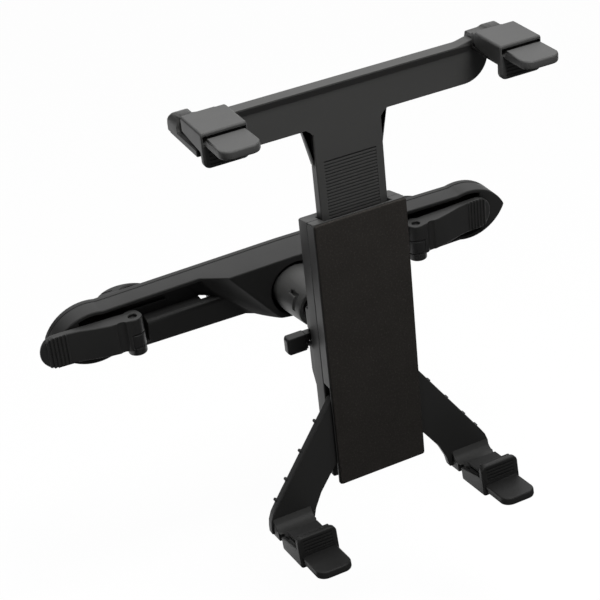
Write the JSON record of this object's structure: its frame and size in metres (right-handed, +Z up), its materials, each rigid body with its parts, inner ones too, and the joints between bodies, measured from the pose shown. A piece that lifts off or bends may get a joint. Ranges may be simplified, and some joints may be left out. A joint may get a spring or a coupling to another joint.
{
  "type": "headrest tablet mount",
  "caption": "Car headrest tablet holder: a clamp bar with cam levers grips the seat posts, and a ball joint carries a padded holder with a sliding T arm, claws and swinging feet.",
  "frame": {"origin": "centre of the pad's front face, where the tablet rests", "axes": "+X to the right as seen by the person using the tablet, +Y back towards the headrest posts, +Z up"},
  "size_m": [0.2634, 0.1676, 0.2326],
  "materials": {
    "plastic": "satin moulded black",
    "hard_plastic": "smooth black",
    "foam": "fine speckled foam",
    "rubber": "matte black rubber",
    "steel": "zinc plated"
  },
  "bodies": {
    "bar": {"clamp_bar": "plastic", "rear_cover": "plastic", "socket_seat": "plastic", "bar_screws": "steel"},
    "collar": {"collar_nut": "plastic"},
    "ball": {"pivot_ball": "hard_plastic"},
    "neck": {"ball_neck": "hard_plastic"},
    "holder": {"front_pad": "foam", "front_shell": "plastic", "rear_shell": "plastic", "shell_screws": "steel", "leg_pins": "steel", "back_block": "plastic", "block_screws": "steel", "button_spring": "steel"},
    "button": {"release_button": "plastic"},
    "arm": {"t_arm": "plastic"},
    "left_claw_body": {"left_claw": "plastic", "left_claw_pad": "rubber"},
    "right_claw_body": {"right_claw": "plastic", "right_claw_pad": "rubber"},
    "left_leg_body": {"left_leg": "plastic"},
    "right_leg_body": {"right_leg": "plastic"},
    "left_foot_body": {"left_foot": "plastic", "left_foot_pad": "rubber"},
    "right_foot_body": {"right_foot": "plastic", "right_foot_pad": "rubber"},
    "left_carriage": {"left_slider": "plastic"},
    "right_carriage": {"right_slider": "plastic"},
    "left_clamp": {"left_jaw": "plastic", "left_jaw_liner": "rubber", "left_eye_bolt": "steel", "left_jaw_nut": "steel", "left_lever_pin": "steel"},
    "right_clamp": {"right_jaw": "plastic", "right_jaw_liner": "rubber", "right_eye_bolt": "steel", "right_jaw_nut": "steel", "right_lever_pin": "steel"},
    "left_lever_body": {"left_lever": "plastic"},
    "right_lever_body": {"right_lever": "plastic"}
  },
  "joints": [
    {"name": "collar_turn", "type": "hinge", "parent": "bar", "child": "collar", "pos_m": [0, 0.08, -0.0076], "axis": [0, 1, 0], "range_deg": [-60, 60]},
    {"name": "ball_swivel", "type": "hinge", "parent": "bar", "child": "ball", "pos_m": [0, 0.066, -0.0076], "axis": [0, 0, 1], "range_deg": [-15, 15]},
    {"name": "ball_tilt", "type": "hinge", "parent": "ball", "child": "neck", "pos_m": [0, 0.066, -0.0076], "axis": [1, 0, 0], "range_deg": [-15, 15]},
    {"name": "ball_spin", "type": "hinge", "parent": "neck", "child": "holder", "pos_m": [0, 0.024, -0.0076], "axis": [0, 1, 0], "range_deg": [-180, 180]},
    {"name": "button_press", "type": "slide", "parent": "holder", "child": "button", "axis": [1, 0, 0], "range_m": [0, 0.0025], "stiffness_N_per_m": 400, "springref_m": -0.0015, "deforming": ["button_spring"]},
    {"name": "t_arm_slide", "type": "slide", "parent": "holder", "child": "arm", "axis": [0, 0, 1], "range_m": [-0.024, 0.024]},
    {"name": "left_claw_slide", "type": "slide", "parent": "arm", "child": "left_claw_body", "axis": [0, -1, 0], "range_m": [-0.002, 0.008]},
    {"name": "right_claw_slide", "type": "slide", "parent": "arm", "child": "right_claw_body", "axis": [0, -1, 0], "range_m": [-0.002, 0.008]},
    {"name": "left_leg_swing", "type": "hinge", "parent": "holder", "child": "left_leg_body", "pos_m": [-0.012, 0.006, -0.036], "axis": [0, -1, 0], "range_deg": [-8, 15]},
    {"name": "right_leg_swing", "type": "hinge", "parent": "holder", "child": "right_leg_body", "pos_m": [0.012, 0.006, -0.036], "axis": [0, 1, 0], "range_deg": [-8, 15]},
    {"name": "left_foot_slide", "type": "slide", "parent": "left_leg_body", "child": "left_foot_body", "axis": [0, -0.9903, 0.1392], "range_m": [-0.002, 0.008]},
    {"name": "right_foot_slide", "type": "slide", "parent": "right_leg_body", "child": "right_foot_body", "axis": [0, -0.9903, 0.1392], "range_m": [-0.002, 0.008]},
    {"name": "left_carriage_slide", "type": "slide", "parent": "bar", "child": "left_carriage", "axis": [1, 0, 0], "range_m": [-0.014, 0]},
    {"name": "right_carriage_slide", "type": "slide", "parent": "bar", "child": "right_carriage", "axis": [1, 0, 0], "range_m": [0, 0.014]},
    {"name": "left_jaw_slide", "type": "slide", "parent": "left_carriage", "child": "left_clamp", "axis": [0, 1, 0], "range_m": [0, 0.001]},
    {"name": "right_jaw_slide", "type": "slide", "parent": "right_carriage", "child": "right_clamp", "axis": [0, 1, 0], "range_m": [0, 0.001]},
    {"name": "left_lever_swing", "type": "hinge", "parent": "left_clamp", "child": "left_lever_body", "pos_m": [-0.0882, 0.0825, -0.0038], "axis": [0, 0, 1], "range_deg": [0, 100]},
    {"name": "right_lever_swing", "type": "hinge", "parent": "right_clamp", "child": "right_lever_body", "pos_m": [0.07, 0.0825, -0.0038], "axis": [0, 0, -1], "range_deg": [0, 100]}
  ],
  "couplings": [
    {"joint": "left_lever_swing", "follows": "left_jaw_slide", "rad_per_m": 1745.3},
    {"joint": "right_lever_swing", "follows": "right_jaw_slide", "rad_per_m": 1745.3}
  ]
}
